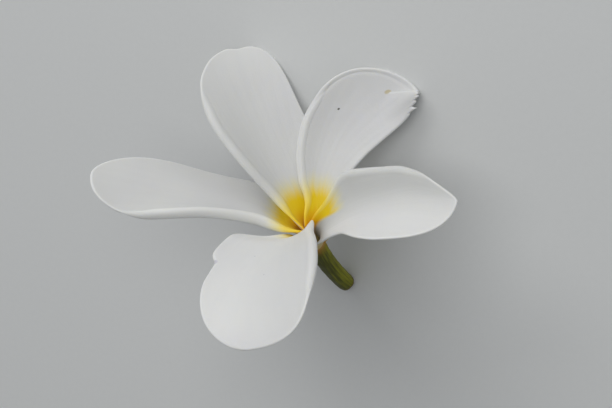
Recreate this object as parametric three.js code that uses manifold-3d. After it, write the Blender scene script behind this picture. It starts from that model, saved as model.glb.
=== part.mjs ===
// Frangipani flower: five overlapping petals on a slim, bent corolla tube.
// The flower is first modelled about its own axis (throat at the origin, axis
// along +Z, petals spreading upward), then laid back on a flat surface, where
// it rests on two petals and on the lower end of the tube.
// Lengths are in millimetres, angles in degrees. "Left" is the
// counter-clockwise side of a petal as seen from above, which lies over the
// next petal and has a rolled margin; "right" is the side tucked under.

import * as THREE from "three";
import { mergeVertices } from "three/addons/utils/BufferGeometryUtils.js";
import Module from "manifold-3d";

// Petal blades
const PETAL_THICKNESS = 0.65;
const FOOT_HEIGHT = -2.0; // where the blades start, below the throat's centre
const FOOT_SHARE = 0.5; // share of the length over which the foot's own width fades
const FOOT_BEND_POWER = 1.6;
const FOOT_TURN_SHARE = 0.25; // share of the length over which a blade leaves its foot's direction
const ROLL_RADIUS = 0.9; // of the rolled left margin
const RIM_FULL_FROM = 0.2; // shares of the length between which the roll is at its full width
const RIM_FULL_TO = 0.65;
const RIM_END = 0.9;
const TILT_SHARE = 0.3; // share of the length over which the foot's tilt changes to the blade's
const CUP_SHARE = 0.35; // share of the length over which the cup grows
const POINT_FROM = 0.6; // share of the length where a pointed tip starts to narrow
const MIDRIB_STEPS = 24;
const OUTLINE_STEPS = 40;
const PETAL_ROWS = 24;
const PETAL_COLUMNS = 14;
const ROW_CROWDING = 1.3; // rows are closer together near the foot
const COLUMN_CROWDING = 1.5; // columns are closer together near the rolled margin

// Every petal unless it states otherwise
const PETAL_DEFAULTS = {
  footRadius: 2.4, // middle of the blade at the throat, from the axis
  footHalf: 1.9, // half width of the foot
  footTilt: 30, // how far the foot turns inward over its neighbour
  footBend: 2.2, // length over which the blade turns outward
  sweep: 0, // turn of the direction toward the tip
  skew: 0, // sideways bulge of the middle line
  tilt: 12, // left side raised over the next petal
  tipTilt: 12,
  cup: 0.02, // curvature across the blade at the foot, 1/mm
  tipCup: 0.02,
  rim: 1.6, // width of the rolled margin
  notch: 0, // depth of a small bite in the right margin
  fold: 0, // height of the creased corner at the tip
};

// Outline of one side of a petal, unless the petal states otherwise. Its
// greatest distance from the middle line is half.
const FLANK_DEFAULTS = {
  belly: 0.65, // share of the length where the side is widest
  waist: 1, // 1 is a straight flank toward the foot, more a hollow one, less a full one
  blunt: 4, // 2 is a rounded end, more is squarer
  point: 0, // narrowing toward a pointed tip
};

const PETALS = [
  { name: "petal_left", foot: 178, azimuth: 163.5, sweep: 3.5, skew: -1, length: 44.5, lift: 24, tipLift: 32,
    left: { half: 9.9, belly: 0.88, waist: 2.1, blunt: 4.5 },
    right: { half: 10.7, belly: 0.36, waist: 0.8, blunt: 2.4 },
    tilt: 25, tipTilt: 0, cup: 0, tipCup: -0.01, rim: 2, footTilt: 30, footBend: 2 },
  { name: "petal_back_left", foot: 112, azimuth: 106, sweep: -3, length: 43, lift: 29, tipLift: 17,
    left: { half: 10.6, belly: 0.71, waist: 1.26 }, right: { half: 9.9, belly: 0.53, waist: 0.9, blunt: 12 },
    tilt: 21, tipTilt: 8.5, cup: 0.03, tipCup: 0.01 },
  { name: "petal_back_right", foot: 40, azimuth: 59, sweep: -19, skew: 1, length: 35, lift: 30, tipLift: 32,
    left: { half: 9.2, belly: 0.7, waist: 1.3, blunt: 12 },
    right: { half: 10.2, belly: 0.9, waist: 1.55, blunt: 12 },
    tilt: 10, tipTilt: 14, tipCup: 0, fold: 0.9 },
  { name: "petal_right", foot: -44, azimuth: -27.5, sweep: -6, skew: 0.5, length: 37.2, lift: 37,
    tipLift: 18, left: { half: 8.9, belly: 0.3, waist: 1.5, blunt: 2.4, point: 0.55 },
    right: { half: 10.5, belly: 0.6, waist: 2.4, blunt: 4.2 },
    tilt: 9, tipTilt: 20, cup: 0.04, tipCup: 0.03, footTilt: 36 },
  { name: "petal_front", foot: -112, azimuth: -122.5, sweep: 9.5, skew: -1.2, length: 44.5, lift: 28,
    tipLift: -4.5, left: { half: 14.8, belly: 0.69, waist: 1.37, blunt: 9.3 },
    right: { half: 10.5, belly: 0.28, waist: 1.5, blunt: 6.3 }, tilt: 20, cup: 0.01, notch: 0.7,
    footRadius: 1.85, footTilt: 50, footBend: 4 },
];

// Creased, ragged corner at the tip of one petal
const FOLD_SIDE = -0.25; // share of the half width where the crease lies
const FOLD_STEP = 0.1; // share of the half width over which the crease rises
const FOLD_START = 0.72; // share of the length where the crease begins
const FOLD_REACH = 1.6; // how far the folded corner stands out past the tip
// Small bite in one petal's right margin
const NOTCH_AT = 0.49; // share of the length
const NOTCH_SPREAD = 0.035;

// Corolla tube
const SEAM = 0.3; // gap between the tube's mouth and the blades' feet
const TUBE_LENGTH = 20.3;
const TUBE_END = new THREE.Vector2(4.8, 3.6); // how far the bend carries the lower end sideways
const TUBE_BEND_POWER = 1.4; // 1 is a straight slant, 2 an even bend
const TUBE_SIDES = 28;
const TUBE_RINGS = 14;
const RING_CROWDING = 1.4; // rings are closer together at the mouth
const MOUTH_OUTER = 3.0;
const MOUTH_INNER = 1.75;
const TUBE_OUTER = 2.0;
const TUBE_END_OUTER = 1.85;
const TUBE_WALL = 0.7;
const FLARE_LENGTH = 2.6;

// Resting pose: the flower's axis leans back until three spots share a plane
const LEAN = 59.5;
const LEAN_AZIMUTH = 53.6; // direction in which the flower leans
const TURN = 29.5; // about the vertical, after leaning
const THROAT_HEIGHT = 17.37; // of the throat's centre above the surface
const THROAT_OFFSET = new THREE.Vector2(0.99, -7.11); // of the throat from the middle of the outline
const CUT_SIZE = 400;

const PETAL_COLOUR = 0xf0efe9;
const TUBE_COLOUR = 0x8d8a3c;

const wasm = await Module();
wasm.setup();

const radians = THREE.MathUtils.degToRad;
const smoothstep = THREE.MathUtils.smoothstep;

/** Side and height reached after a length along an arc of the given curvature. */
function arc(curvature, length) {
  if (Math.abs(curvature) < 1e-6) {
    return [length, (curvature * length * length) / 2];
  }
  return [Math.sin(curvature * length) / curvature, (1 - Math.cos(curvature * length)) / curvature];
}

/** Outline of one side of a blade at a share of the length, before its end is rounded. */
function flankShape(flank, share) {
  const inside = Math.min(share, 0.9999);
  const squared = Math.sqrt((1 - inside ** flank.blunt) / (1 - inside * inside));
  const pointed = 1 - flank.point * smoothstep(share, POINT_FROM, 1);
  return Math.sin((Math.PI / 2) * Math.min(1, share / flank.belly)) ** flank.waist * squared * pointed;
}

/** Side of a petal with its defaults and the scale that brings it to its stated width. */
function finishedFlank(own) {
  const flank = { ...FLANK_DEFAULTS, ...own };
  let widest = 0;
  for (let i = 0; i < OUTLINE_STEPS; i += 1) {
    const share = i / OUTLINE_STEPS;
    widest = Math.max(widest, flankShape(flank, share) * Math.sqrt(1 - share * share));
  }
  flank.scale = flank.half / widest;
  return flank;
}

/** Half width on one side at a share of the length, before the end is rounded. */
function halfWidth(petal, flank, share) {
  return petal.footHalf * Math.max(0, 1 - share / FOOT_SHARE) + flank.scale * flankShape(flank, share);
}

/** Elevation of the middle line above the horizontal, in radians. */
function elevation(petal, along) {
  const share = along / petal.length;
  const blade = petal.lift + (petal.tipLift - petal.lift) * share * share;
  return radians(blade + (90 - petal.lift) * Math.exp(-((along / petal.footBend) ** FOOT_BEND_POWER)));
}

/** Distance from the axis and height of the middle line at a share of the length. */
function middleLine(petal, share) {
  const step = (share * petal.length) / MIDRIB_STEPS;
  let radius = petal.footRadius;
  let height = FOOT_HEIGHT;
  for (let i = 0; i < MIDRIB_STEPS; i += 1) {
    const angle = elevation(petal, (i + 0.5) * step);
    radius += Math.cos(angle) * step;
    height += Math.sin(angle) * step;
  }
  return [radius, height];
}

/** Side and height of a blade's cross-section, with its rolled left margin and its tilt. */
function crossSection(petal, across, share, half, curvature) {
  const rim = petal.rim * smoothstep(share, 0, RIM_FULL_FROM)
    * (1 - smoothstep(share, RIM_FULL_TO, RIM_END));
  const flatEnd = Math.max(half - rim, 0);
  let [side, rise] = arc(curvature, Math.min(across, flatEnd));
  if (across > flatEnd) {
    const heading = curvature * flatEnd;
    const [forward, drop] = arc(-1 / ROLL_RADIUS, across - flatEnd);
    side += forward * Math.cos(heading) - drop * Math.sin(heading);
    rise += forward * Math.sin(heading) + drop * Math.cos(heading);
  }
  const tilt = radians(petal.footTilt + (petal.tilt - petal.footTilt) * smoothstep(share, 0, TILT_SHARE)
    + (petal.tipTilt - petal.tilt) * smoothstep(share, TILT_SHARE, 1));
  return [side * Math.cos(tilt) - rise * Math.sin(tilt), side * Math.sin(tilt) + rise * Math.cos(tilt)];
}

/** Point of a blade's middle surface; u runs foot to tip (0..1), v right to left (-1..1). */
function petalPoint(petal, u, v) {
  const share = u * Math.sqrt(1 - (v * v) / 2);
  const disc = v * Math.sqrt(1 - (u * u) / 2);
  let half = halfWidth(petal, disc > 0 ? petal.left : petal.right, share);
  if (v < 0) {
    half -= petal.notch * -v * Math.exp(-(((share - NOTCH_AT) / NOTCH_SPREAD) ** 2));
  }
  const across = disc * half;
  const edge = Math.sqrt(Math.max(0, 1 - share * share)) * half;
  const angle = elevation(petal, share * petal.length);
  const [radius, height] = middleLine(petal, share);
  const cup = petal.cup + (petal.tipCup - petal.cup) * share;
  const curvature = Math.sin(angle) / radius + cup * smoothstep(share, 0, CUP_SHARE);
  const folded = (1 - smoothstep(disc, FOLD_SIDE - FOLD_STEP, FOLD_SIDE))
    * smoothstep(share, FOLD_START, 1);
  const [side, section] = crossSection(petal, across, share, edge, curvature);
  const rise = section + petal.fold * folded;
  const out = petal.fold > 0 ? FOLD_REACH * folded : 0;
  const r = radius + out * Math.cos(angle) - Math.sin(angle) * rise;
  const z = height + out * Math.sin(angle) + Math.cos(angle) * rise;
  const sideways = side + petal.skew * Math.sin(Math.PI * share);
  const turned = petal.foot + (petal.azimuth - petal.foot) * smoothstep(share, 0, FOOT_TURN_SHARE)
    + petal.sweep * share * share;
  const w = radians(turned);
  return [r * Math.cos(w) - sideways * Math.sin(w), r * Math.sin(w) + sideways * Math.cos(w), z];
}

/** Closed blade: a grid moved onto the petal's middle surface, thickened to both faces. */
function petalGeometry(petal) {
  const sheet = new THREE.PlaneGeometry(2, 1, PETAL_COLUMNS, PETAL_ROWS);
  const grid = sheet.attributes.position;
  for (let i = 0; i < grid.count; i += 1) {
    const u = Math.max(0, grid.getY(i) + 0.5) ** ROW_CROWDING;
    const v = 1 - 2 * ((grid.getX(i) + 1) / 2) ** COLUMN_CROWDING;
    grid.setXYZ(i, ...petalPoint(petal, u, v));
  }
  sheet.computeVertexNormals();
  return thicken(sheet, PETAL_COLUMNS, PETAL_ROWS, PETAL_THICKNESS);
}

/** Closed solid from an open grid: both faces share one triangulation, walls close the edge. */
function thicken(sheet, columns, rows, thickness) {
  const middle = sheet.attributes.position;
  const normal = sheet.attributes.normal;
  const count = middle.count;
  const points = [];
  for (const side of [1, -1]) {
    for (let i = 0; i < count; i += 1) {
      const reach = (side * thickness) / 2;
      points.push(middle.getX(i) + normal.getX(i) * reach, middle.getY(i) + normal.getY(i) * reach,
        middle.getZ(i) + normal.getZ(i) * reach);
    }
  }
  const upper = Array.from(sheet.index.array);
  const triangles = [...upper];
  for (let i = 0; i < upper.length; i += 3) {
    triangles.push(upper[i] + count, upper[i + 2] + count, upper[i + 1] + count);
  }
  const loop = edgeLoop(columns, rows);
  for (let i = 0; i < loop.length; i += 1) {
    const a = loop[i];
    const b = loop[(i + 1) % loop.length];
    triangles.push(a, a + count, b, b, a + count, b + count);
  }
  const solid = new THREE.BufferGeometry();
  solid.setAttribute("position", new THREE.Float32BufferAttribute(points, 3));
  solid.setIndex(triangles);
  return solid;
}

/** Border vertices of the grid in the order that follows its faces' winding. */
function edgeLoop(columns, rows) {
  const at = (column, row) => row * (columns + 1) + column;
  const loop = [];
  for (let row = 0; row < rows; row += 1) loop.push(at(0, row));
  for (let column = 0; column < columns; column += 1) loop.push(at(column, rows));
  for (let row = rows; row > 0; row -= 1) loop.push(at(columns, row));
  for (let column = columns; column > 0; column -= 1) loop.push(at(column, 0));
  return loop;
}

/** Hollow tube with a flared mouth: a lathed wall, bent along a curved centre line. */
function tubeGeometry() {
  const outer = [];
  const inner = [];
  for (let i = 0; i <= TUBE_RINGS; i += 1) {
    const depth = TUBE_LENGTH * (i / TUBE_RINGS) ** RING_CROWDING;
    const flare = 1 - smoothstep(depth, 0, FLARE_LENGTH);
    const slim = TUBE_OUTER + (TUBE_END_OUTER - TUBE_OUTER) * (depth / TUBE_LENGTH);
    outer.push(new THREE.Vector2(slim + (MOUTH_OUTER - TUBE_OUTER) * flare, -depth));
    const bore = slim - TUBE_WALL;
    inner.push(new THREE.Vector2(bore + (MOUTH_INNER - (TUBE_OUTER - TUBE_WALL)) * flare, -depth));
  }
  const profile = [...outer.reverse(), ...inner, outer[0]];
  const wall = new THREE.LatheGeometry(profile, TUBE_SIDES);
  wall.rotateX(Math.PI / 2);
  const position = wall.attributes.position;
  const down = new THREE.Vector3(0, 0, -1);
  const top = FOOT_HEIGHT - SEAM;
  for (let i = 0; i < position.count; i += 1) {
    const share = Math.max(0, -position.getZ(i) / TUBE_LENGTH);
    const bent = share ** TUBE_BEND_POWER;
    const slope = (TUBE_BEND_POWER * share ** (TUBE_BEND_POWER - 1)) / TUBE_LENGTH;
    const heading = new THREE.Vector3(TUBE_END.x * slope, TUBE_END.y * slope, -1).normalize();
    const ring = new THREE.Vector3(position.getX(i), position.getY(i), 0);
    ring.applyQuaternion(new THREE.Quaternion().setFromUnitVectors(down, heading));
    position.setXYZ(i, TUBE_END.x * bent + ring.x, TUBE_END.y * bent + ring.y,
      top - TUBE_LENGTH * share + ring.z);
  }
  return wall;
}

/** Lays the flower's own frame down in its resting pose. */
function restingMatrix() {
  const axis = new THREE.Vector3(-Math.sin(radians(LEAN_AZIMUTH)), Math.cos(radians(LEAN_AZIMUTH)), 0);
  const lean = new THREE.Matrix4().makeRotationAxis(axis, radians(LEAN));
  const turn = new THREE.Matrix4().makeRotationZ(radians(TURN));
  const move = new THREE.Matrix4().makeTranslation(THROAT_OFFSET.x, THROAT_OFFSET.y, THROAT_HEIGHT);
  return move.multiply(turn).multiply(lean);
}

/** The solid without whatever reaches below the surface, which leaves small flat spots. */
function cutAtSurface(geometry) {
  geometry.computeBoundingBox();
  if (geometry.boundingBox.min.z >= 0) {
    return geometry;
  }
  const ground = new THREE.BoxGeometry(CUT_SIZE, CUT_SIZE, CUT_SIZE);
  ground.translate(0, 0, -CUT_SIZE / 2);
  const kept = toManifold(geometry).subtract(toManifold(ground)).getMesh();
  const cut = new THREE.BufferGeometry();
  cut.setAttribute("position", new THREE.Float32BufferAttribute(kept.vertProperties, kept.numProp));
  cut.setIndex(Array.from(kept.triVerts));
  return cut;
}

/** Closed mesh for boolean work. */
function toManifold(geometry) {
  const plain = geometry.clone();
  plain.deleteAttribute("normal");
  plain.deleteAttribute("uv");
  const merged = mergeVertices(plain, 1e-3);
  return new wasm.Manifold(new wasm.Mesh({
    numProp: 3,
    vertProperties: new Float32Array(merged.attributes.position.array),
    triVerts: new Uint32Array(merged.index.array),
  }));
}

/** Named mesh with a material of its own, in the resting pose. */
function placedMesh(name, geometry, colour, roughness, pose) {
  geometry.applyMatrix4(pose);
  const solid = cutAtSurface(geometry);
  solid.computeVertexNormals();
  const surface = new THREE.MeshStandardMaterial({ color: colour, roughness, metalness: 0 });
  const mesh = new THREE.Mesh(solid, surface);
  mesh.name = name;
  return mesh;
}

/** The whole flower, lying on the plane z = 0. */
function buildFlower() {
  const flower = new THREE.Group();
  flower.name = "frangipani_flower";
  const pose = restingMatrix();
  for (const own of PETALS) {
    const petal = { ...PETAL_DEFAULTS, ...own };
    petal.left = finishedFlank(own.left);
    petal.right = finishedFlank(own.right);
    flower.add(placedMesh(petal.name, petalGeometry(petal), PETAL_COLOUR, 0.5, pose));
  }
  flower.add(placedMesh("corolla_tube", tubeGeometry(), TUBE_COLOUR, 0.55, pose));
  return flower;
}

export default buildFlower();
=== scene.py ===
"""Looks of a frangipani flower: five petals and the corolla tube they spread from.

Each petal is modelled again from the sizes of its solid as a finer blade with
a rounded, rolled margin, and finished in waxy white with a golden eye. The
flower is shaped in its own frame, with the throat at the origin, the flower's
axis along +Z and lengths in millimetres, then laid back in its resting pose.
"Left" is a petal's counter-clockwise side, which lies over the next petal.
"""

import logging
import math
from dataclasses import dataclass
from enum import Enum

import bmesh
import bpy
import numpy as np
from mathutils import Matrix, Vector


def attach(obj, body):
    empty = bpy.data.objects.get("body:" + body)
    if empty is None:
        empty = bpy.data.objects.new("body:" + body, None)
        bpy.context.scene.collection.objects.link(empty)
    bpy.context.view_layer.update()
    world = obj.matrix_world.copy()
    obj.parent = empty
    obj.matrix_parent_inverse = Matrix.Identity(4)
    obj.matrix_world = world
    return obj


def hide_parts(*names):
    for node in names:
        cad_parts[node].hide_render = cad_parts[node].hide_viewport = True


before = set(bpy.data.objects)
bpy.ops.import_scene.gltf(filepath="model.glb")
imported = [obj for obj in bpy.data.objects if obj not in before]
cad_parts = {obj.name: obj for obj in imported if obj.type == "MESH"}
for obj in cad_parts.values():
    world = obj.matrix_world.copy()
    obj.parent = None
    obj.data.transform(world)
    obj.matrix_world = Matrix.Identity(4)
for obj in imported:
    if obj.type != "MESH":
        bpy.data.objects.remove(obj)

LOG = logging.getLogger("frangipani")
Colour = tuple[float, float, float]
Values = np.ndarray

MM = 0.001

# Resting pose: the flower's axis leans back until three spots share a plane
LEAN = 59.5
LEAN_AZIMUTH = 53.6
TURN = 29.5
THROAT = Vector((0.99, -7.11, 17.37))

# Least curvature that is told from a straight line, in 1/mm
STRAIGHT = 1e-6
# Slack where a shell is cut level with the floor, in metres
CUT_SLACK = 1e-7


class PetalName(Enum):
    """The five petals, by the solid that each one stands for."""

    LEFT = "petal_left"
    BACK_LEFT = "petal_back_left"
    BACK_RIGHT = "petal_back_right"
    RIGHT = "petal_right"
    FRONT = "petal_front"


class Slot(Enum):
    """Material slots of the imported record."""

    PETAL = "petal"
    TUBE = "tube"


def smoothstep(value: Values, low: float, high: float) -> Values:
    """Smooth rise from 0 at low to 1 at high."""
    share = np.clip((value - low) / (high - low), 0.0, 1.0)
    return share * share * (3.0 - 2.0 * share)


def bump(value: Values, centre: float, spread: float | Values) -> Values:
    """Rounded hill of height 1 at the centre."""
    return np.exp(-(((value - centre) / spread) ** 2))


def crowded(place: Values, share: float) -> Values:
    """Draws evenly spread places from -1 to 1 toward both ends, more so for a greater share."""
    return (1.0 - share) * place + share * np.sin(math.pi / 2 * place)


def arc(curvature: Values, length: Values) -> tuple[Values, Values]:
    """Follows an arc that starts along the first direction.

    Args:
        curvature: Curvature of the arc, in 1/mm.
        length: Length followed, in mm.

    Returns:
        How far it goes forward and how far it has turned aside.
    """
    bent = np.where(np.abs(curvature) < STRAIGHT, STRAIGHT, curvature)
    return np.sin(bent * length) / bent, (1.0 - np.cos(bent * length)) / bent


def resting_matrix() -> Matrix:
    """Turns millimetres in the flower's frame into metres in the resting pose."""
    azimuth = math.radians(LEAN_AZIMUTH)
    axis = Vector((-math.sin(azimuth), math.cos(azimuth), 0.0))
    lean = Matrix.Rotation(math.radians(LEAN), 4, axis)
    turn = Matrix.Rotation(math.radians(TURN), 4, "Z")
    return Matrix.Scale(MM, 4) @ Matrix.Translation(THROAT) @ turn @ lean


def finished(bm: bmesh.types.BMesh, name: str) -> bpy.types.Mesh:
    """Cuts a closed shell level with the floor, smooths it and makes it a mesh.

    Args:
        bm: Closed shell in metres, freed here.
        name: Name of the mesh.

    Returns:
        The mesh, with its faces pointing outwards.
    """
    cut = bmesh.ops.bisect_plane(
        bm,
        geom=[*bm.verts, *bm.edges, *bm.faces],
        dist=CUT_SLACK,
        plane_co=(0, 0, 0),
        plane_no=(0, 0, -1),
        clear_outer=True,
    )
    rim = [item for item in cut["geom_cut"] if isinstance(item, bmesh.types.BMEdge)]
    if rim:
        bmesh.ops.holes_fill(bm, edges=rim, sides=0)
    bmesh.ops.recalc_face_normals(bm, faces=bm.faces)
    for face in bm.faces:
        face.smooth = True
    mesh = bpy.data.meshes.new(name)
    bm.to_mesh(mesh)
    bm.free()
    return mesh


@dataclass(frozen=True)
class Nick:
    """Small bite or bulge in a petal's margin.

    at is a direction in degrees on the half disc that a Blade is drawn on: 90
    at the foot's left end, 0 at the tip and -90 at the foot's right end. depth
    is in mm, above 0 for a bite and below 0 for a bulge.
    """

    at: float
    spread: float
    depth: float


@dataclass(frozen=True)
class Crease:
    """Crease in a blade, from start to end in mm along and across it.

    The blade stands up by height on the right of the crease, followed from
    start to end on the inner face, and settles again over reach.
    """

    start: tuple[float, float]
    end: tuple[float, float]
    height: float
    reach: float

    STEP = 0.25
    GROWTH = 6.0

    def rise(self, along: Values, across: Values) -> Values:
        """Height of the crease at places on the blade, in mm."""
        line = np.subtract(self.end, self.start)
        forward, aside = line / np.hypot(*line)
        passed = (along - self.start[0]) * forward + (across - self.start[1]) * aside
        beside = (along - self.start[0]) * aside - (across - self.start[1]) * forward
        fall = np.where(beside > 0.0, self.reach, self.STEP)
        return self.height * smoothstep(passed, 0.0, self.GROWTH) * bump(beside, 0.0, fall)


@dataclass(frozen=True)
class Spot:
    """Small mark on a petal's inner face, or a patch of painted shade, placed in mm along and across the
    blade.
    """

    along: float
    across: float
    radius: float
    colour: Colour


@dataclass(frozen=True)
class Flank:
    """Outline of one side of a petal.

    half is its greatest distance from the middle line, in mm, and belly the
    share of the length up to which it swells. waist is 1 for a straight flank
    toward the foot and more for a hollow one. blunt is 2 for a rounded end and
    more for a squarer one, and point narrows the end.
    """

    half: float
    belly: float = 0.65
    waist: float = 1.0
    blunt: float = 4.0
    point: float = 0.0

    POINT_FROM = 0.6
    NEAR_END = 0.9999
    SAMPLES = 40

    def shape(self, share: Values) -> Values:
        """Distance from the middle line without a scale, before the end is rounded."""
        inside = np.minimum(share, self.NEAR_END)
        squared = np.sqrt((1.0 - inside**self.blunt) / (1.0 - inside * inside))
        pointed = 1.0 - self.point * smoothstep(share, self.POINT_FROM, 1.0)
        grown = np.sin(math.pi / 2 * np.minimum(1.0, share / self.belly)) ** self.waist
        return grown * squared * pointed

    def distance(self, share: Values) -> Values:
        """Distance from the middle line, in mm, before the end is rounded."""
        samples = np.arange(self.SAMPLES) / self.SAMPLES
        widest = np.max(self.shape(samples) * np.sqrt(1.0 - samples**2))
        return self.half * self.shape(share) / widest


@dataclass(frozen=True)
class Blade:
    """Form of one petal, in millimetres and degrees.

    The blade is drawn on half a disc. A share runs from 0 at the foot to 1 at
    the tip, a side from -1 at the foot's right end to 1 at its left one, and on
    the margin their squares add up to 1. The main form has the sizes of its
    solid, apart from the foot's width: lift and tilt are its slopes along and
    across, cup its curvature across, and sweep and skew bend it sideways.
    ridge, dish, bead, groove and wave are finer forms, the five fields from eye_end
    belong to the colours, the last two of them being a painted highlight on the
    rolled margin and painted shade on the petal's left side, and bead_from is a
    direction like a nick's.
    """

    name: PetalName
    foot: float
    azimuth: float
    length: float
    left: Flank
    right: Flank
    lift: float
    tip_lift: float
    sweep: float = 0.0
    skew: float = 0.0
    tilt: float = 12.0
    tip_tilt: float = 12.0
    cup: float = 0.02
    tip_cup: float = 0.02
    rim: float = 1.6
    notch: float = 0.0
    fold: float = 0.0
    foot_radius: float = 2.4
    foot_half: float = 1.9
    foot_tilt: float = 30.0
    foot_bend: float = 2.2
    ridge: float = 0.12
    dish: float = 0.0
    bead: float = 0.05
    groove: float = 0.0
    bead_from: float = -180.0
    wave: float = 0.16
    eye_end: float = 12.5
    eye_from: float = -20.0
    eye_narrowing: float = 3.0
    # Share of painted highlight on the rolled margin
    rolled_highlight_share: float = 0.2
    # Share of painted shade on the petal's left side
    painted_shade_share: float = 0.4
    columns: int = 96
    seed: int = 1
    creases: tuple[Crease, ...] = ()
    nicks: tuple[Nick, ...] = ()
    spots: tuple[Spot, ...] = ()

    # Blade's thickness, which tapers to its margin
    THICKNESS = 0.65
    EDGE_THICKNESS = 0.14
    EDGE_TAPER = 0.55

    # Foot, the collar that widens it to close the throat, and its root in the tube's mouth
    FOOT_HEIGHT = -2.0
    FOOT_SHARE = 0.5
    FOOT_BEND_POWER = 1.6
    FOOT_TURN_SHARE = 0.25
    COLLAR = 1.6
    COLLAR_SHARE = 0.09
    ROOT_DEPTH = 1.3
    ROOT_SHRINK = 0.55
    ROOT_NARROWING = 0.25
    ROOT_UPRIGHTNESS = 0.5

    # Rolled left margin, with the shares where its full width starts and ends and where it is gone
    ROLL_RADIUS = 0.9
    RIM_FULL_FROM = 0.2
    RIM_FULL_TO = 0.65
    RIM_END = 0.9
    RIM_LEAST = 1e-3
    ROLL_FADE = 0.25
    RIDGE_INSET = 0.5

    # Main form: where tilt and cup are full, the bite in the right margin and the fold at the tip
    TILT_SHARE = 0.3
    CUP_SHARE = 0.35
    NOTCH_AT = 0.49
    NOTCH_SPREAD = 0.035
    FOLD_SIDE = -0.25
    FOLD_STEP = 0.25
    FOLD_START = 0.72
    FOLD_REACH = 1.6

    # Fine forms: each pair is the start and the end of a smooth rise or fall
    DISH_REACH = 5.0
    DISH_START = (0.1, 0.3)
    DISH_END = (0.75, 1.0)
    DISH_SIDE = (-0.1, 0.6)
    BEAD_FADE = 12.0
    BEAD_WIDTH = 0.4
    GROOVE_AT = 1.0
    GROOVE_WIDTH = 0.4
    VEINS = 11
    VEIN_HEIGHT = 0.008
    VEIN_BEND = 1.5
    VEIN_BEND_RATE = 3.0
    VEIN_MARGIN = (0.3, 2.0)
    RELIEF_SHARE = (0.12, 0.45)

    # Soft waves, as half waves along and across the blade
    WAVES = ((1.5, 1.0), (2.6, 0.6), (3.4, 1.8), (5.2, 1.1))
    WAVE_SEED = 100

    # Unevenness of the margin: its depth and its waves in a full turn about the foot's middle
    RAGGED_DEPTH = 0.33
    RAGGED_WAVES = (3, 5, 8, 13)
    RAGGED_NEAR = (0.7, 1.0)
    RAGGED_SHARE = (0.12, 0.3)

    # Fineness of the mesh and of the sums
    ROWS = 150
    ROOT_ROWS = 5
    ROW_CROWDING = 0.5
    COLUMN_CROWDING = 0.55
    MIDRIB_STEPS = 24
    SLOPE_STEP = 0.001
    LEAST_SLOPE = 1e-4
    MARGIN_LIMIT = 6.0

    def half_width(self, share: Values, disc: Values) -> Values:
        """Half width on the side of disc at a share of the length, before the end is rounded."""
        foot = self.foot_half * np.maximum(0.0, 1.0 - share / self.FOOT_SHARE)
        foot = foot + self.COLLAR * bump(share, 0.0, self.COLLAR_SHARE)
        return foot + np.where(disc > 0.0, self.left.distance(share), self.right.distance(share))

    def elevation(self, along: Values) -> Values:
        """Elevation of the middle line above the horizontal, in radians."""
        blade = self.lift + (self.tip_lift - self.lift) * (along / self.length) ** 2
        rise = (90.0 - self.lift) * np.exp(-((along / self.foot_bend) ** self.FOOT_BEND_POWER))
        return np.radians(blade + rise)

    def middle_line(self, share: Values) -> tuple[Values, Values]:
        """Distance from the axis and height of the middle line."""
        step = share * self.length / self.MIDRIB_STEPS
        radius = np.full_like(share, self.foot_radius)
        height = np.full_like(share, self.FOOT_HEIGHT)
        for i in range(self.MIDRIB_STEPS):
            angle = self.elevation((i + 0.5) * step)
            radius = radius + np.cos(angle) * step
            height = height + np.sin(angle) * step
        return radius, height

    def margin_distance(self, share: Values, disc: Values) -> Values:
        """Distance to the nearest margin, in mm, true close to it."""
        step = self.SLOPE_STEP
        inside = np.clip(share, 2.0 * step, 1.0 - 2.0 * step)
        half = self.half_width(inside, disc)
        slope = (self.half_width(inside + step, disc) - self.half_width(inside - step, disc)) / (2.0 * step)
        lengthwise = (-2.0 * inside + 2.0 * disc**2 * slope / half) / self.length
        crosswise = -2.0 * disc / half
        depth = np.maximum(0.0, 1.0 - inside**2 - disc**2)
        distance = depth / np.maximum(self.LEAST_SLOPE, np.hypot(lengthwise, crosswise))
        return np.minimum(distance, self.MARGIN_LIMIT)

    def ragged(self, share: Values, disc: Values) -> Values:
        """Factor that draws the margin in or out for its nicks and slight waviness."""
        direction = np.degrees(np.arctan2(disc, share))
        random = np.random.default_rng(self.seed)
        depth = np.zeros_like(share)
        for waves in self.RAGGED_WAVES:
            phase = random.uniform(0.0, 2.0 * math.pi)
            depth += self.RAGGED_DEPTH / waves * np.sin(np.radians(direction) * waves + phase)
        for nick in self.nicks:
            depth += nick.depth * bump(direction, nick.at, nick.spread)
        near = smoothstep(np.hypot(share, disc), *self.RAGGED_NEAR) * smoothstep(share, *self.RAGGED_SHARE)
        return 1.0 - depth / self.length * near

    def relief(self, share: Values, disc: Values, margin: Values) -> Values:
        """Fine relief of the blade: beaded edge, groove, veins and soft waves."""
        direction = np.degrees(np.arctan2(disc, share))
        beaded = smoothstep(direction, self.bead_from - self.BEAD_FADE, self.bead_from)
        bead = self.bead * bump(margin, 0.0, self.BEAD_WIDTH) * beaded
        groove = self.groove * bump(margin, self.GROOVE_AT, self.GROOVE_WIDTH) * beaded
        random = np.random.default_rng(self.seed + self.WAVE_SEED)
        waves = np.zeros_like(share)
        for lengthwise, crosswise in self.WAVES:
            phase = random.uniform(0.0, 2.0 * math.pi, 2)
            along_wave = np.sin(lengthwise * math.pi * share + phase[0])
            waves += along_wave * np.sin(crosswise * math.pi * disc + phase[1]) / lengthwise
        bend = self.VEIN_BEND * np.sin(self.VEIN_BEND_RATE * share + self.seed)
        veins = self.VEIN_HEIGHT * np.cos(math.pi * self.VEINS * disc + bend)
        veins = veins * smoothstep(margin, *self.VEIN_MARGIN)
        return (bead - groove + self.wave * waves + veins) * smoothstep(share, *self.RELIEF_SHARE)

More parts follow.
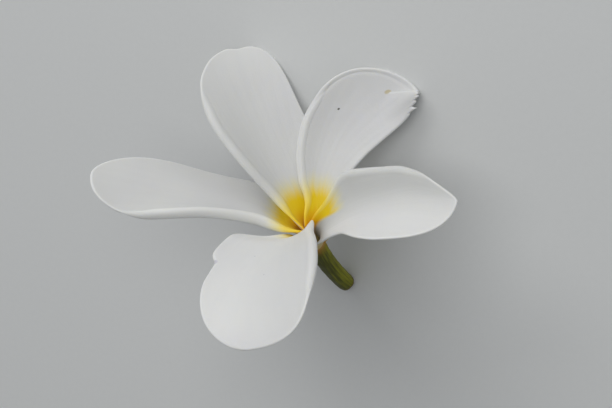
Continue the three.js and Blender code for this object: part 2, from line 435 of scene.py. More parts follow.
    def folded(self, share: Values, disc: Values) -> Values:
        """How far the tip's right side is folded up, from 0 to 1."""
        beside = 1.0 - smoothstep(disc, self.FOLD_SIDE - self.FOLD_STEP, self.FOLD_SIDE)
        return beside * smoothstep(share, self.FOLD_START, 1.0) * (self.fold > 0.0)

    def raised(self, share: Values, disc: Values, across: Values, edge: Values, margin: Values) -> Values:
        """Height that the fold and the finer forms add to the cross-section.

        Args:
            share: Share of the petal's length.
            disc: Side on the half disc, below 0 on the right and above 0 on the left.
            across: Distance from the middle line, measured on the blade.
            edge: Half width of the blade there.
            margin: Distance to the nearest margin.

        Returns:
            The height, in mm.
        """
        rolled = self.rolled(across, share, edge)
        hump = np.sqrt(4.0 * rolled * (1.0 - rolled))
        ridge = self.ridge * self.rim_width(share) / self.rim * hump
        hollow = smoothstep(across - edge, -self.DISH_REACH - self.rim, -self.rim)
        hollow = hollow * smoothstep(share, *self.DISH_START) * (1.0 - smoothstep(share, *self.DISH_END))
        dish = self.dish * hollow * smoothstep(disc, *self.DISH_SIDE)
        creases = sum(crease.rise(share * self.length, across) for crease in self.creases)
        fold = self.fold * self.folded(share, disc)
        return ridge + dish + creases + fold + self.relief(share, disc, margin)

    def points(self, u: Values, v: Values) -> tuple[Values, dict[str, Values]]:
        """Places the blade's middle surface.

        Args:
            u: 0 at the foot to 1 at the tip; below 0 inside the tube's mouth.
            v: -1 at the right margin to 1 at the left margin.

        Returns:
            Points in the flower's frame, in mm, and the surface's own coordinates.
        """
        sunk = np.clip(-u, 0.0, None) * self.ROOT_DEPTH
        u = np.clip(u, 0.0, 1.0)
        share = u * np.sqrt(1.0 - v * v / 2.0)
        disc = v * np.sqrt(1.0 - u * u / 2.0)
        margin = self.margin_distance(share, disc)
        drawn = self.ragged(share, disc)
        share, disc = share * drawn, disc * drawn
        root = smoothstep(sunk, 0.0, self.ROOT_DEPTH)
        bite = self.notch * -v * bump(share, self.NOTCH_AT, self.NOTCH_SPREAD)
        half = self.half_width(share, disc) - np.where(v < 0.0, bite, 0.0)
        half = half * (1.0 - self.ROOT_NARROWING * root)
        across = disc * half
        edge = np.sqrt(np.maximum(0.0, 1.0 - share**2)) * half
        angle = self.elevation(share * self.length)
        radius, height = self.middle_line(share)
        cup = self.cup + (self.tip_cup - self.cup) * share
        curvature = np.sin(angle) / radius + cup * smoothstep(share, 0.0, self.CUP_SHARE)
        side, rise = self.cross_section(across, share, edge, curvature, root)
        rise = rise + self.raised(share, disc, across, edge, margin)
        out = self.FOLD_REACH * self.folded(share, disc)
        radius = radius - self.ROOT_SHRINK * root
        height = height - sunk
        r = radius + out * np.cos(angle) - np.sin(angle) * rise
        z = height + out * np.sin(angle) + np.cos(angle) * rise
        sideways = side + self.skew * np.sin(math.pi * share)
        turned = self.foot + (self.azimuth - self.foot) * smoothstep(share, 0.0, self.FOOT_TURN_SHARE)
        turned = np.radians(turned + self.sweep * share**2)
        x = r * np.cos(turned) - sideways * np.sin(turned)
        y = r * np.sin(turned) + sideways * np.cos(turned)
        rolled = smoothstep(self.rolled(across, share, edge), 0.0, self.ROLL_FADE)
        own = {
            "along": share * self.length - sunk,
            "across": across,
            "side": disc,
            "margin": margin,
            "rolled": rolled * self.rim_width(share) / self.rim,
        }
        return np.stack([x, y, z], axis=1), own

    def rim_width(self, share: Values) -> Values:
        """Width of the rolled left margin, in mm."""
        grown = smoothstep(share, 0.0, self.RIM_FULL_FROM)
        return self.rim * grown * (1.0 - smoothstep(share, self.RIM_FULL_TO, self.RIM_END))

    def rolled(self, across: Values, share: Values, edge: Values) -> Values:
        """Place across the rolled left margin: 0 up to just inside its crease, 1 at the edge."""
        width = np.maximum(self.rim_width(share) * (1.0 + self.RIDGE_INSET / self.rim), self.RIM_LEAST)
        return np.clip((across - edge) / width + 1.0, 0.0, 1.0)

    def cross_section(
        self, across: Values, share: Values, edge: Values, curvature: Values, root: Values
    ) -> tuple[Values, Values]:
        """Cross-section of the blade with its rolled left margin and its tilt.

        Args:
            across: Distance from the middle line, measured on the blade.
            share: Share of the petal's length.
            edge: Half width of the blade there.
            curvature: Curvature across the blade.
            root: 1 at the deepest end of the foot, 0 above it.

        Returns:
            Sideways distance and rise.
        """
        flat_end = np.maximum(edge - self.rim_width(share), 0.0)
        side, rise = arc(curvature, np.minimum(across, flat_end))
        heading = curvature * flat_end
        over = np.maximum(across - flat_end, 0.0)
        forward, drop = arc(np.full_like(share, -1.0 / self.ROLL_RADIUS), over)
        side = side + forward * np.cos(heading) - drop * np.sin(heading)
        rise = rise + forward * np.sin(heading) + drop * np.cos(heading)
        tilt = self.foot_tilt + (self.tilt - self.foot_tilt) * smoothstep(share, 0.0, self.TILT_SHARE)
        tilt = tilt + (self.tip_tilt - self.tilt) * smoothstep(share, self.TILT_SHARE, 1.0)
        tilt = np.radians(tilt * (1.0 - self.ROOT_UPRIGHTNESS * root))
        return side * np.cos(tilt) - rise * np.sin(tilt), side * np.sin(tilt) + rise * np.cos(tilt)

    def thickness(self, margin: Values) -> Values:
        """Full thickness of the blade, which thins to a rounded margin."""
        taper = np.minimum(margin / self.EDGE_TAPER, 1.0)
        return np.maximum(self.EDGE_THICKNESS, self.THICKNESS * np.sqrt(1.0 - (1.0 - taper) ** 2))

    def mesh(self, pose: Matrix) -> bpy.types.Mesh:
        """Closed blade from a grid that is laid on the middle surface and extruded to both faces."""
        bm = bmesh.new()
        rows = self.ROWS + self.ROOT_ROWS
        bmesh.ops.create_grid(bm, x_segments=self.columns, y_segments=rows, size=1.0)
        number = bm.verts.layers.int.new("number")
        for i, vert in enumerate(bm.verts):
            vert[number] = i
        grid = np.array([vert.co[:] for vert in bm.verts])
        row = (grid[:, 1] + 1.0) / 2.0 * rows - self.ROOT_ROWS
        u = np.where(row > 0.0, crowded(row / self.ROWS, self.ROW_CROWDING), row / self.ROOT_ROWS)
        v = -crowded(grid[:, 0], self.COLUMN_CROWDING)
        middle, own = self.points(u, v)
        for vert, place in zip(bm.verts, middle):
            vert.co = place
        bm.normal_update()
        normal = np.array([vert.normal[:] for vert in bm.verts])
        # A new layer renews every vertex, so the layers come before the outer face is picked out
        layers = {key: bm.verts.layers.float.new(key) for key in (*own, "inner")}
        doubled = bmesh.ops.extrude_face_region(bm, geom=list(bm.faces), use_keep_orig=True)
        outer = {item for item in doubled["geom"] if isinstance(item, bmesh.types.BMVert)}
        reach = normal * (self.thickness(own["margin"]) / 2.0)[:, None]
        for vert in bm.verts:
            i = vert[number]
            inner = vert not in outer
            vert.co = middle[i] + (reach[i] if inner else -reach[i])
            for key, values in own.items():
                vert[layers[key]] = float(values[i])
            vert[layers["inner"]] = float(inner)
        bmesh.ops.transform(bm, matrix=pose, verts=bm.verts)
        return finished(bm, self.name.value + "_blade")


BLADES = (
    Blade(
        PetalName.LEFT, foot=178, azimuth=163.5, sweep=3.5, skew=-1, length=44.5, lift=24, tip_lift=32,
        left=Flank(9.9, belly=0.88, waist=2.1, blunt=4.5),
        right=Flank(10.7, belly=0.36, waist=0.8, blunt=2.4),
        tilt=25, tip_tilt=0, cup=0, tip_cup=-0.01, rim=2, foot_tilt=30, foot_bend=2,
        ridge=0.45, rolled_highlight_share=0.7, painted_shade_share=0.4, eye_end=10, eye_narrowing=1, seed=11,
    ),
    Blade(
        PetalName.BACK_LEFT, foot=112, azimuth=106, sweep=-3, length=43, lift=29, tip_lift=17,
        left=Flank(10.6, belly=0.71, waist=1.26), right=Flank(9.9, belly=0.53, waist=0.9, blunt=12),
        tilt=21, tip_tilt=8.5, cup=0.03, tip_cup=0.01, rolled_highlight_share=0.15, painted_shade_share=0.5, seed=23,
        nicks=(Nick(-6, spread=4, depth=0.5), Nick(31, spread=6, depth=-0.3)),
    ),
    Blade(
        PetalName.BACK_RIGHT, foot=40, azimuth=59, sweep=-19, skew=1, length=35, lift=30, tip_lift=32,
        left=Flank(9.2, belly=0.7, waist=1.3, blunt=12), right=Flank(10.2, belly=0.9, waist=1.55, blunt=12),
        tilt=10, tip_tilt=14, tip_cup=0, fold=0.9, dish=0.2, bead=0.14, groove=0.1, bead_from=-8,
        painted_shade_share=0.3, columns=240, seed=37,
        creases=(Crease((30.6, -1.6), (33.6, -8), height=1.8, reach=5),),
        nicks=(
            Nick(-29, spread=4.5, depth=0.3),
            Nick(-23, spread=0.6, depth=0.25),
            Nick(-25, spread=0.5, depth=-0.2),
            Nick(-27, spread=0.6, depth=0.3),
            Nick(-29, spread=0.5, depth=-0.15),
            Nick(-31, spread=0.6, depth=0.35),
            Nick(-33.5, spread=0.7, depth=-0.6),
            Nick(-35.5, spread=0.8, depth=0.2),
        ),
        spots=(
            Spot(31.2, -1.9, radius=0.6, colour=(0.62, 0.55, 0.38)),
            Spot(24.5, 3.4, radius=0.24, colour=(0.10, 0.10, 0.08)),
        ),
    ),
    Blade(
        PetalName.RIGHT, foot=-44, azimuth=-27.5, sweep=-6, skew=0.5, length=37.2, lift=37, tip_lift=18,
        left=Flank(8.9, belly=0.3, waist=1.5, blunt=2.4, point=0.55),
        right=Flank(10.5, belly=0.6, waist=2.4, blunt=4.2),
        tilt=9, tip_tilt=20, cup=0.04, tip_cup=0.03, foot_tilt=36, ridge=0.05, dish=0.6, painted_shade_share=1,
        eye_end=9, eye_from=2.4, eye_narrowing=0, seed=41,
    ),
    Blade(
        PetalName.FRONT, foot=-112, azimuth=-122.5, sweep=9.5, skew=-1.2, length=44.5,
        lift=28, tip_lift=-4.5,
        left=Flank(14.8, belly=0.69, waist=1.37, blunt=9.3),
        right=Flank(10.5, belly=0.28, waist=1.5, blunt=6.3),
        tilt=20, cup=0.01, notch=0.7, foot_radius=1.85, foot_half=1.3, foot_tilt=50, foot_bend=4,
        eye_end=8.5, seed=53,
        nicks=(Nick(-68, spread=7, depth=-4), Nick(-56, spread=5, depth=1.5)),
        spots=(
            Spot(18.3, -3.1, radius=0.16, colour=(0.55, 0.55, 0.58)),
            Spot(26.0, 2.0, radius=0.16, colour=(0.55, 0.55, 0.58)),
            # Painted shade: a lavender-grey patch in the dent of the notch
            Spot(22.0, -10.3, radius=0.8, colour=(0.62, 0.61, 0.66)),
        ),
    ),
)


class NodeSketch:
    """Builds one procedural material, node by node."""

    def __init__(self, name: str) -> None:
        """Starts a material with an empty Principled surface."""
        self.material = bpy.data.materials.new(name)
        self.material.use_nodes = True
        self.tree = self.material.node_tree
        self.shader = next(node for node in self.tree.nodes if node.type == "BSDF_PRINCIPLED")

    def connect(self, socket: bpy.types.NodeSocket, value: object) -> None:
        """Links a socket, or sets it where the value is a number or a colour."""
        if isinstance(value, bpy.types.NodeSocket):
            self.tree.links.new(value, socket)
        elif isinstance(value, tuple) and len(value) == 3 and socket.type == "RGBA":
            socket.default_value = (*value, 1.0)
        else:
            socket.default_value = value

    def attribute(self, name: str) -> bpy.types.NodeSocket:
        """Value of one of the mesh's own attributes."""
        node = self.tree.nodes.new("ShaderNodeAttribute")
        node.attribute_name = name
        return node.outputs["Fac"]

    def place(self) -> bpy.types.NodeSocket:
        """Object coordinates, in metres."""
        return self.tree.nodes.new("ShaderNodeTexCoord").outputs["Object"]

    def math(self, operation: str, *values: object) -> bpy.types.NodeSocket:
        """Result of one Math node."""
        node = self.tree.nodes.new("ShaderNodeMath")
        node.operation = operation
        for socket, value in zip(node.inputs, values):
            self.connect(socket, value)
        return node.outputs[0]

    def vector(self, x: object, y: object, z: object) -> bpy.types.NodeSocket:
        """Vector of three values."""
        node = self.tree.nodes.new("ShaderNodeCombineXYZ")
        for socket, value in zip(node.inputs, (x, y, z)):
            self.connect(socket, value)
        return node.outputs[0]

    def noise(self, where: object, scale: float, detail: float = 2.0) -> bpy.types.NodeSocket:
        """Noise from 0 to 1 at a place."""
        node = self.tree.nodes.new("ShaderNodeTexNoise")
        self.connect(node.inputs["Vector"], where)
        node.inputs["Scale"].default_value = scale
        node.inputs["Detail"].default_value = detail
        return node.outputs["Fac"]

    def band(self, value: object, start: float, end: float) -> bpy.types.NodeSocket:
        """Smooth rise of a value from 0 at the start to 1 at the end."""
        node = self.tree.nodes.new("ShaderNodeMapRange")
        node.interpolation_type = "SMOOTHSTEP"
        falling = start > end
        self.connect(node.inputs["Value"], value)
        node.inputs["From Min"].default_value = min(start, end)
        node.inputs["From Max"].default_value = max(start, end)
        node.inputs["To Min"].default_value = 1.0 if falling else 0.0
        node.inputs["To Max"].default_value = 0.0 if falling else 1.0
        return node.outputs["Result"]

    def mix(self, share: object, first: object, second: object) -> bpy.types.NodeSocket:
        """Colour between two, by a share from 0 to 1."""
        node = self.tree.nodes.new("ShaderNodeMix")
        node.data_type = "RGBA"
        node.clamp_factor = True
        colours = [socket for socket in node.inputs if socket.type == "RGBA"]
        self.connect(node.inputs[0], share)
        self.connect(colours[0], first)
        self.connect(colours[1], second)
        return next(socket for socket in node.outputs if socket.type == "RGBA")

    def scatter(self, weight: float, radius: Colour, scale: float) -> None:
        """Sets how light spreads below the surface, with the scale in metres."""
        self.shader.inputs["Subsurface Weight"].default_value = weight
        self.shader.inputs["Subsurface Radius"].default_value = radius
        self.shader.inputs["Subsurface Scale"].default_value = scale

    def relief(self, height: object, depth: float) -> None:
        """Fine relief of the surface, depth in metres."""
        node = self.tree.nodes.new("ShaderNodeBump")
        node.inputs["Distance"].default_value = depth
        self.connect(node.inputs["Height"], height)
        self.tree.links.new(node.outputs["Normal"], self.shader.inputs["Normal"])


@dataclass(frozen=True)
class PetalFinish:
    """Waxy petal: white with a golden eye and faint lengthwise streaks, a pale rim that is a painted
    highlight on the thin and the rolled margins, and painted shade on one side.

    A pair of numbers is the start and the end of a smooth rise or fall. Lengths
    on the petal are in mm and the sizes of scattering and relief in metres.
    """

    white: Colour = (0.77, 0.77, 0.755)
    shade: Colour = (0.66, 0.655, 0.69)
    # Painted shade for one side of a petal
    painted_shade: Colour = (0.62, 0.625, 0.61)
    # Painted highlight for the thin and the rolled margins
    rim: Colour = (0.92, 0.92, 0.89)
    lemon: Colour = (0.86, 0.76, 0.26)
    gold: Colour = (0.92, 0.64, 0.003)
    orange: Colour = (0.92, 0.50, 0.002)
    outer_foot: Colour = (0.64, 0.50, 0.20)

    STREAKS_ACROSS = 9.0
    STREAKS_ALONG = 0.05
    STREAK_BAND = (0.5, 0.8)
    STREAK_SHARE = 0.12
    CLOUD_SCALE = 55.0
    CLOUD_BAND = (0.35, 0.75)
    CLOUD_SHARE = 0.35
    # Sides of a petal darkened by painted shade
    PAINTED_SHADE_BAND = (-0.35, 0.5)
    # Margin width and share lightened by the painted highlight
    EDGE_HIGHLIGHT_BAND = (0.5, 0.05)
    EDGE_HIGHLIGHT_SHARE = 0.5
    GRAIN_SCALE = 2600.0
    GRAIN_HEIGHT = 0.25
    STREAK_HEIGHT = 0.8
    RELIEF_DEPTH = 0.00006
    ROUGHNESS = 0.42
    ROUGHNESS_RANGE = 0.12
    SCATTER_WEIGHT = 0.25
    SCATTER_RADIUS = (1.0, 0.9, 0.65)
    SCATTER_SCALE = 0.0012
    SPECULAR = 0.35
    SHEEN = 0.05

    # The first three bands are shares of the eye's reach, the last one of a spot's radius
    EYE_BAND = (1.0, 0.5)
    LEMON_BAND = (0.5, 0.85)
    ORANGE_BAND = (0.42, 0.15)
    EYE_SIDE_BAND = (-0.3, 0.6)
    EYE_RAGGEDNESS = 2.4
    PALER_MARGIN = 0.5
    FOOT_BAND = (5.5, 0.5)
    SPOT_BAND = (1.2, 0.6)

    def material(self, blade: Blade) -> bpy.types.Material:
        """Material for one petal, with that petal's own eye and spots."""
        nodes = NodeSketch(blade.name.value + "_wax")
        along, across = nodes.attribute("along"), nodes.attribute("across")
        side, margin = nodes.attribute("side"), nodes.attribute("margin")
        inner = nodes.attribute("inner")
        streaks = nodes.noise(
            nodes.vector(
                nodes.math("MULTIPLY", side, self.STREAKS_ACROSS),
                nodes.math("MULTIPLY", along, self.STREAKS_ALONG),
                blade.seed,
            ),
            scale=1.0,
            detail=4.0,
        )
        cloud = nodes.noise(nodes.place(), scale=self.CLOUD_SCALE, detail=1.0)
        soft = nodes.math("MULTIPLY", nodes.band(cloud, *self.CLOUD_BAND), self.CLOUD_SHARE)
        faint = nodes.math("MULTIPLY", nodes.band(streaks, *self.STREAK_BAND), self.STREAK_SHARE)
        # Painted shade: each petal's left side is darkened, for the shade its cupped form turns into
        painted_shade = nodes.math("MULTIPLY", nodes.band(side, *self.PAINTED_SHADE_BAND), blade.painted_shade_share)
        colour = nodes.mix(nodes.math("ADD", soft, faint), self.white, self.shade)
        colour = nodes.mix(painted_shade, colour, self.painted_shade)
        # Painted highlight: the thin margin and the rolled margin are lightened, for the light they catch
        # and the light the doubled layer gives back
        edge_highlight = nodes.math("MULTIPLY", nodes.band(margin, *self.EDGE_HIGHLIGHT_BAND), self.EDGE_HIGHLIGHT_SHARE)
        rolled_highlight = nodes.math("MULTIPLY", nodes.attribute("rolled"), blade.rolled_highlight_share)
        colour = nodes.mix(nodes.math("MAXIMUM", edge_highlight, rolled_highlight), colour, self.rim)
        colour = self.eye(nodes, blade, colour, streaks)
        for spot in blade.spots:
            colour = self.spotted(nodes, colour, spot, along, across, inner)
        nodes.connect(nodes.shader.inputs["Base Color"], colour)
        grain = nodes.noise(nodes.place(), scale=self.GRAIN_SCALE, detail=1.0)
        raised = nodes.math("MULTIPLY", streaks, self.STREAK_HEIGHT)
        nodes.relief(nodes.math("MULTIPLY_ADD", grain, self.GRAIN_HEIGHT, raised), self.RELIEF_DEPTH)
        roughness = nodes.math("MULTIPLY_ADD", cloud, self.ROUGHNESS_RANGE, self.ROUGHNESS)
        nodes.connect(nodes.shader.inputs["Roughness"], roughness)
        nodes.scatter(self.SCATTER_WEIGHT, self.SCATTER_RADIUS, self.SCATTER_SCALE)
        nodes.shader.inputs["Specular IOR Level"].default_value = self.SPECULAR
        nodes.shader.inputs["Sheen Weight"].default_value = self.SHEEN
        return nodes.material

    def eye(
        self, nodes: NodeSketch, blade: Blade, colour: bpy.types.NodeSocket, streaks: bpy.types.NodeSocket
    ) -> bpy.types.NodeSocket:
        """Golden eye on the inner face and an ochre foot on the outer one.

        The eye fades outwards, reaches furthest along the blade's middle where
        it narrows, and stays paler on the rolled margin.

        Args:
            nodes: Material being built.
            blade: Petal with the reach of its eye.
            colour: Colour of the blade without its eye.
            streaks: Lengthwise streaks, from 0 to 1.

        Returns:
            The colour with the eye.
        """
        along, across, side, rolled, inner = (
            nodes.attribute(name) for name in ("along", "across", "side", "rolled", "inner")
        )
        squared = nodes.math("MULTIPLY", side, side)
        flame = nodes.math("MULTIPLY_ADD", squared, blade.eye_narrowing, along)
        uneven = nodes.math("SUBTRACT", streaks, 0.5)
        flame = nodes.math("MULTIPLY_ADD", uneven, self.EYE_RAGGEDNESS, flame)
        eye_band, lemon_band, orange_band = (
            tuple(share * blade.eye_end for share in band)
            for band in (self.EYE_BAND, self.LEMON_BAND, self.ORANGE_BAND)
        )
        golden = nodes.mix(nodes.band(flame, *lemon_band), self.gold, self.lemon)
        golden = nodes.mix(nodes.band(flame, *orange_band), golden, self.orange)
        golden = nodes.mix(nodes.math("MULTIPLY", rolled, self.PALER_MARGIN), golden, self.lemon)
        side_band = (blade.eye_from + offset for offset in self.EYE_SIDE_BAND)
        shown = nodes.math("MULTIPLY", nodes.band(flame, *eye_band), inner)
        shown = nodes.math("MULTIPLY", shown, nodes.band(across, *side_band))
        outer = nodes.math("SUBTRACT", 1.0, inner)
        foot = nodes.math("MULTIPLY", nodes.band(along, *self.FOOT_BAND), outer)
        return nodes.mix(shown, nodes.mix(foot, colour, self.outer_foot), golden)

    def spotted(
        self,
        nodes: NodeSketch,
        colour: bpy.types.NodeSocket,
        spot: Spot,
        along: bpy.types.NodeSocket,
        across: bpy.types.NodeSocket,
        inner: bpy.types.NodeSocket,
    ) -> bpy.types.NodeSocket:
        """Adds one small mark, or a patch of painted shade, to the inner face.

        Args:
            nodes: Material being built.
            colour: Colour below the mark.
            spot: The mark.
            along: Distance from the foot, in mm.
            across: Distance from the middle line, in mm.
            inner: 1 on the inner face, 0 on the outer one.

        Returns:
            The colour with the mark.
        """
        lengthwise = nodes.math("SUBTRACT", along, spot.along)
        crosswise = nodes.math("SUBTRACT", across, spot.across)
        squares = nodes.math("MULTIPLY", crosswise, crosswise)
        squares = nodes.math("MULTIPLY_ADD", lengthwise, lengthwise, squares)
        distance = nodes.math("SQRT", squares)
        near = nodes.band(distance, *(spot.radius * share for share in self.SPOT_BAND))
        return nodes.mix(nodes.math("MULTIPLY", near, inner), colour, spot.colour)


@dataclass(frozen=True)
class TubeFinish:
    """Satin tube, painted dark olive as shade and lighter yellow-green on one side as painted light,
    orange-brown at its mouth, with lengthwise streaks.
    """

    mouth: Colour = (0.58, 0.28, 0.04)
    # Painted shade: dark olive for the shade the tube lies in, and a lighter green for painted light on one
    # side
    painted_shade_olive: Colour = (0.085, 0.09, 0.008)
    painted_light_green: Colour = (0.34, 0.34, 0.02)
    lining: Colour = (0.70, 0.48, 0.03)
    cut: Colour = (0.20, 0.13, 0.05)

    STREAKS_AROUND = 2.2
    STREAKS_ALONG = 0.08
    STREAK_SCALE = 2.0
    # How strongly one side of the tube is lightened by painted light
    PAINTED_LIGHT_SIDE = -0.3
    PAINTED_LIGHT_BAND = (0.45, 0.95)
    MOUTH_RAGGEDNESS = 3.0
    MOUTH_BAND = (6.5, 2.0)
    CUT_BAND = (-0.9, -0.2)  # from the tube's lower end
    RELIEF_DEPTH = 0.00012
    ROUGHNESS = 0.45
    ROUGHNESS_RANGE = 0.2
    SPECULAR = 0.2
    SCATTER_WEIGHT = 0.1
    SCATTER_RADIUS = (0.8, 1.0, 0.3)
    SCATTER_SCALE = 0.001

    def material(self, length: float) -> bpy.types.Material:
        """Material for a tube of the given length, in mm."""
        nodes = NodeSketch("corolla_tube_satin")
        depth, around, inner = (nodes.attribute(name) for name in ("depth", "around", "inner"))
        turn = nodes.math("MULTIPLY", around, 2.0 * math.pi)
        where = nodes.vector(
            nodes.math("MULTIPLY", nodes.math("COSINE", turn), self.STREAKS_AROUND),
            nodes.math("MULTIPLY", nodes.math("SINE", turn), self.STREAKS_AROUND),
            nodes.math("MULTIPLY", depth, self.STREAKS_ALONG),
        )
        streaks = nodes.noise(where, scale=self.STREAK_SCALE, detail=4.0)
        # Painted light: one side of the tube is lighter, the rest stays in the dark olive of painted shade,
        # with the streaks mixed in
        painted_light_and_streaks = nodes.math("MULTIPLY_ADD", nodes.math("COSINE", turn), self.PAINTED_LIGHT_SIDE, streaks)
        colour = nodes.mix(nodes.band(painted_light_and_streaks, *self.PAINTED_LIGHT_BAND), self.painted_shade_olive, self.painted_light_green)
        patches = nodes.math("MULTIPLY_ADD", streaks, self.MOUTH_RAGGEDNESS, depth)
        colour = nodes.mix(nodes.band(patches, *self.MOUTH_BAND), colour, self.mouth)
        cut_band = (length + offset for offset in self.CUT_BAND)
        colour = nodes.mix(nodes.band(depth, *cut_band), colour, self.cut)
        colour = nodes.mix(inner, colour, self.lining)
        nodes.connect(nodes.shader.inputs["Base Color"], colour)
        nodes.relief(streaks, self.RELIEF_DEPTH)
        roughness = nodes.math("MULTIPLY_ADD", streaks, self.ROUGHNESS_RANGE, self.ROUGHNESS)
        nodes.connect(nodes.shader.inputs["Roughness"], roughness)
        nodes.shader.inputs["Specular IOR Level"].default_value = self.SPECULAR
        nodes.scatter(self.SCATTER_WEIGHT, self.SCATTER_RADIUS, self.SCATTER_SCALE)
        return nodes.material


@dataclass(frozen=True)
class CorollaTube:
    """Hollow, slightly bent tube with a flared mouth, in millimetres."""

    top: float = -2.3
    rise: float = 0.35
    length: float = 20.3
    end_x: float = 4.8
    end_y: float = 3.6
    bend_power: float = 1.4
    mouth_outer: float = 3.0
    mouth_inner: float = 1.75
    outer: float = 2.0
    end_outer: float = 1.85
    wall: float = 0.7
    flare: float = 2.6
    sides: int = 72
    rings: int = 60

    RING_CROWDING = 1.3
    LIP = 0.16
    MERGE_SLACK = 1e-4

    # Faint ridges along the tube and swellings around it, their heights as shares of its radius
    RIDGES = 5.0
    RIDGE_HEIGHT = 0.022
    RIDGE_TWIST = 0.12
    SWELLING_HEIGHT = 0.012
    SWELLING_RATE = 1.9
    SWELLING_WANDER = 2.0

    def radii(self, depth: float) -> tuple[float, float]:
        """Outer and inner radius at a depth below the mouth."""
        share = min(max(depth / self.flare, 0.0), 1.0)
        flare = 1.0 - share * share * (3.0 - 2.0 * share)
        slim = self.outer + (self.end_outer - self.outer) * depth / self.length
        bore = slim - self.wall
        return (
            slim + (self.mouth_outer - self.outer) * flare,
            bore + (self.mouth_inner - (self.outer - self.wall)) * flare,
        )

    def profile(self) -> list[tuple[float, float]]:
        """Closed profile of the wall as radius and depth, down the outside and up the bore."""
        depths = [self.length * (i / self.rings) ** self.RING_CROWDING for i in range(self.rings + 1)]
        outside = [(self.radii(depth)[0], depth) for depth in depths]
        inside = [(self.radii(depth)[1], depth) for depth in reversed(depths)]
        outside[-1] = (outside[-1][0] - self.LIP, self.length)
        outside.insert(-1, (outside[-2][0] - self.LIP / 4, self.length - self.LIP))
        outside[0] = (outside[0][0] - self.LIP, -self.rise)
        return outside + inside

    def mesh(self, pose: Matrix) -> bpy.types.Mesh:
        """Closed wall: its profile spun about the axis, then bent along the tube's line."""
        bm = bmesh.new()
        inner, depth_of, around = (bm.verts.layers.float.new(key) for key in ("inner", "depth", "around"))
        profile = self.profile()
        inner_start = len(profile) - (self.rings + 1)
        corners = [bm.verts.new((radius, 0.0, -depth)) for radius, depth in profile]
        for i, vert in enumerate(corners):
            vert[inner] = float(i > inner_start)
        edges = [bm.edges.new((corners[i - 1], corners[i])) for i in range(len(corners))]
        bmesh.ops.spin(
            bm,
            geom=corners + edges,
            cent=(0, 0, 0),
            axis=(0, 0, 1),
            angle=2 * math.pi,
            steps=self.sides,
            use_merge=True,
        )
        bmesh.ops.remove_doubles(bm, verts=bm.verts, dist=self.MERGE_SLACK)
        for vert in bm.verts:
            depth = -vert.co.z
            vert[depth_of] = depth
            turn = math.atan2(vert.co.y, vert.co.x)
            vert[around] = turn / (2.0 * math.pi) + 0.5
            self.bend(vert, depth, 1.0 + self.unevenness(turn, depth) * (1.0 - vert[inner]))
        bmesh.ops.transform(bm, matrix=pose, verts=bm.verts)
        return finished(bm, "corolla_tube_wall")

    def unevenness(self, turn: float, depth: float) -> float:
        """Share of the radius that the ridges and swellings add to the outside."""
        ridges = self.RIDGE_HEIGHT * math.cos(self.RIDGES * turn + self.RIDGE_TWIST * depth)
        wander = self.SWELLING_WANDER * math.sin(turn)
        return ridges + self.SWELLING_HEIGHT * math.sin(self.SWELLING_RATE * depth + wander)

    def bend(self, vert: bmesh.types.BMVert, depth: float, ridge: float) -> None:
        """Moves a vertex of the straight tube to the bent one.

        Args:
            vert: Vertex at its radius and depth on the straight tube.
            depth: Depth below the mouth, in mm.
            ridge: Factor on the radius for the tube's faint ridges and swellings.
        """
        share = max(depth, 0.0) / self.length
        bent = share**self.bend_power
        slope = self.bend_power * share ** (self.bend_power - 1.0) / self.length
        heading = Vector((self.end_x * slope, self.end_y * slope, -1.0))
        turn = Vector((0.0, 0.0, -1.0)).rotation_difference(heading.normalized())
        ring = turn @ Vector((vert.co.x * ridge, vert.co.y * ridge, 0.0))
        middle = Vector((self.end_x * bent, self.end_y * bent, self.top - depth))
        vert.co = middle + ring


class Blossom:
    """The whole flower: five dressed petals and the tube."""

    def __init__(self) -> None:
        """Sets out the sub-assemblies."""
        self.pose = resting_matrix()
        self.petal_finish = PetalFinish()
        self.tube = CorollaTube()
        self.tube_finish = TubeFinish()

    def add(
        self, name: str, mesh: bpy.types.Mesh, material: bpy.types.Material, node: str, slot: Slot
    ) -> None:
        """Links one piece, dresses it and lets it stand for its solid.

        Args:
            name: Name of the piece.
            mesh: Its finished mesh, in metres.
            material: Its finish.
            node: Solid that it replaces.
            slot: Material slot of the record.
        """
        piece = bpy.data.objects.new(name, mesh)
        bpy.context.scene.collection.objects.link(piece)
        mesh.materials.append(material)
        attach(piece, "root")
        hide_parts(node)
        LOG.info("%s: %d faces, slot %s", name, len(mesh.polygons), slot.value)

    def build(self) -> None:
        """Builds every petal and the tube."""
        for blade in BLADES:
            node = blade.name.value
            mesh = blade.mesh(self.pose)
            self.add(node + "_blade", mesh, self.petal_finish.material(blade), node, Slot.PETAL)
        mesh = self.tube.mesh(self.pose)
        finish = self.tube_finish.material(self.tube.length)
        self.add("corolla_tube_wall", mesh, finish, "corolla_tube", Slot.TUBE)


@dataclass(frozen=True)
class SoftLight:
    """Soft square light: its place and side in metres and its power in watts."""

    name: str
    place: Vector
    side: float
    power: float


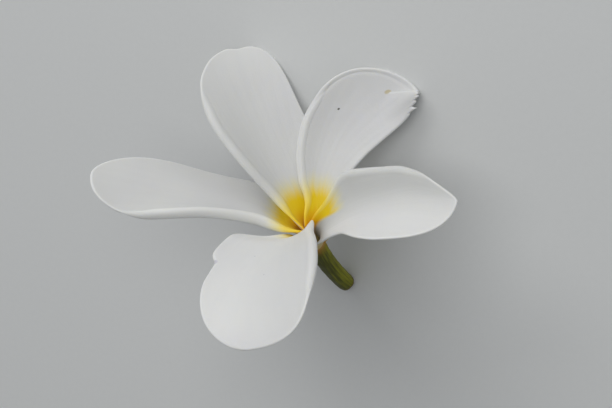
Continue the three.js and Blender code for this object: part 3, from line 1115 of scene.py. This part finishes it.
@dataclass(frozen=True)
class Studio:
    """Pale floor, soft lights and the camera at the photograph's viewing angle.

    Lengths are in metres, and those of the lens and its sensor in mm. right, up
    and toward are the picture's directions, and aside and above shift its
    middle from the flower's throat.
    """

    floor_size: float = 1.6
    floor_colour: Colour = (0.78, 0.79, 0.78)
    lights: tuple[SoftLight, ...] = (
        SoftLight("key", Vector((-0.26, 0.70, 0.26)), side=0.7, power=3.4),
        SoftLight("fill", Vector((0.10, 0.26, 0.66)), side=0.5, power=1.3),
    )
    aim: Vector = Vector((0.0, 0.0, 0.03))
    sky: Colour = (0.93, 0.96, 1.0)
    sky_strength: float = 0.235
    lens: float = 94.1
    distance: float = 0.320
    right: Vector = Vector((0.886, -0.007, -0.463))
    up: Vector = Vector((-0.134, 0.953, -0.271))
    toward: Vector = Vector((0.443, 0.302, 0.844))
    aside: float = 0.0010
    above: float = 0.0050

    FLOOR_GRAIN = 900.0
    FLOOR_DARKENING = 0.97
    FLOOR_ROUGHNESS = 0.9
    SENSOR_WIDTH = 36.0
    CLIP_START = 0.01

    def build(self) -> None:
        """Builds the floor, the lights, the surroundings and the camera."""
        self.floor()
        for light in self.lights:
            self.hang(light)
        self.surroundings()
        self.camera()

    def floor(self) -> None:
        """Plain pale floor at the height the flower lies on."""
        bm = bmesh.new()
        bmesh.ops.create_grid(bm, x_segments=1, y_segments=1, size=self.floor_size / 2)
        mesh = bpy.data.meshes.new("floor")
        bm.to_mesh(mesh)
        bm.free()
        floor = bpy.data.objects.new("floor", mesh)
        bpy.context.scene.collection.objects.link(floor)
        nodes = NodeSketch("floor_paper")
        grain = nodes.noise(nodes.place(), scale=self.FLOOR_GRAIN, detail=2.0)
        darker = tuple(self.FLOOR_DARKENING * part for part in self.floor_colour)
        nodes.connect(nodes.shader.inputs["Base Color"], nodes.mix(grain, self.floor_colour, darker))
        nodes.shader.inputs["Roughness"].default_value = self.FLOOR_ROUGHNESS
        mesh.materials.append(nodes.material)

    def hang(self, light: SoftLight) -> None:
        """Hangs one light and aims it at the flower."""
        data = bpy.data.lights.new(light.name, "AREA")
        data.size = light.side
        data.energy = light.power
        lamp = bpy.data.objects.new(light.name, data)
        lamp.location = light.place
        lamp.rotation_euler = (self.aim - light.place).to_track_quat("-Z", "Y").to_euler()
        bpy.context.scene.collection.objects.link(lamp)

    def surroundings(self) -> None:
        """Even pale light from all around."""
        world = bpy.data.worlds.new("studio")
        world.use_nodes = True
        background = next(node for node in world.node_tree.nodes if node.type == "BACKGROUND")
        background.inputs["Color"].default_value = (*self.sky, 1.0)
        background.inputs["Strength"].default_value = self.sky_strength
        bpy.context.scene.world = world
        bpy.context.scene.view_settings.view_transform = "Standard"

    def camera(self) -> None:
        """Camera that looks down on the flower as the photograph does."""
        data = bpy.data.cameras.new("camera")
        data.lens = self.lens
        data.sensor_width = self.SENSOR_WIDTH
        data.clip_start = self.CLIP_START
        camera = bpy.data.objects.new("camera", data)
        throat = THROAT * MM
        eye = throat + self.toward.normalized() * self.distance
        target = throat - self.right.normalized() * self.aside + self.up.normalized() * self.above
        back = (eye - target).normalized()
        side = self.up.cross(back).normalized()
        top = back.cross(side)
        turned = Matrix((side, top, back)).transposed().to_4x4()
        camera.matrix_world = Matrix.Translation(eye) @ turned
        bpy.context.scene.collection.objects.link(camera)
        bpy.context.scene.camera = camera


def main() -> None:
    """Builds the flower and its studio."""
    logging.basicConfig(level=logging.INFO, format="%(name)s: %(message)s")
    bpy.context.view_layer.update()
    Blossom().build()
    Studio().build()


if __name__ == "__main__":
    main()
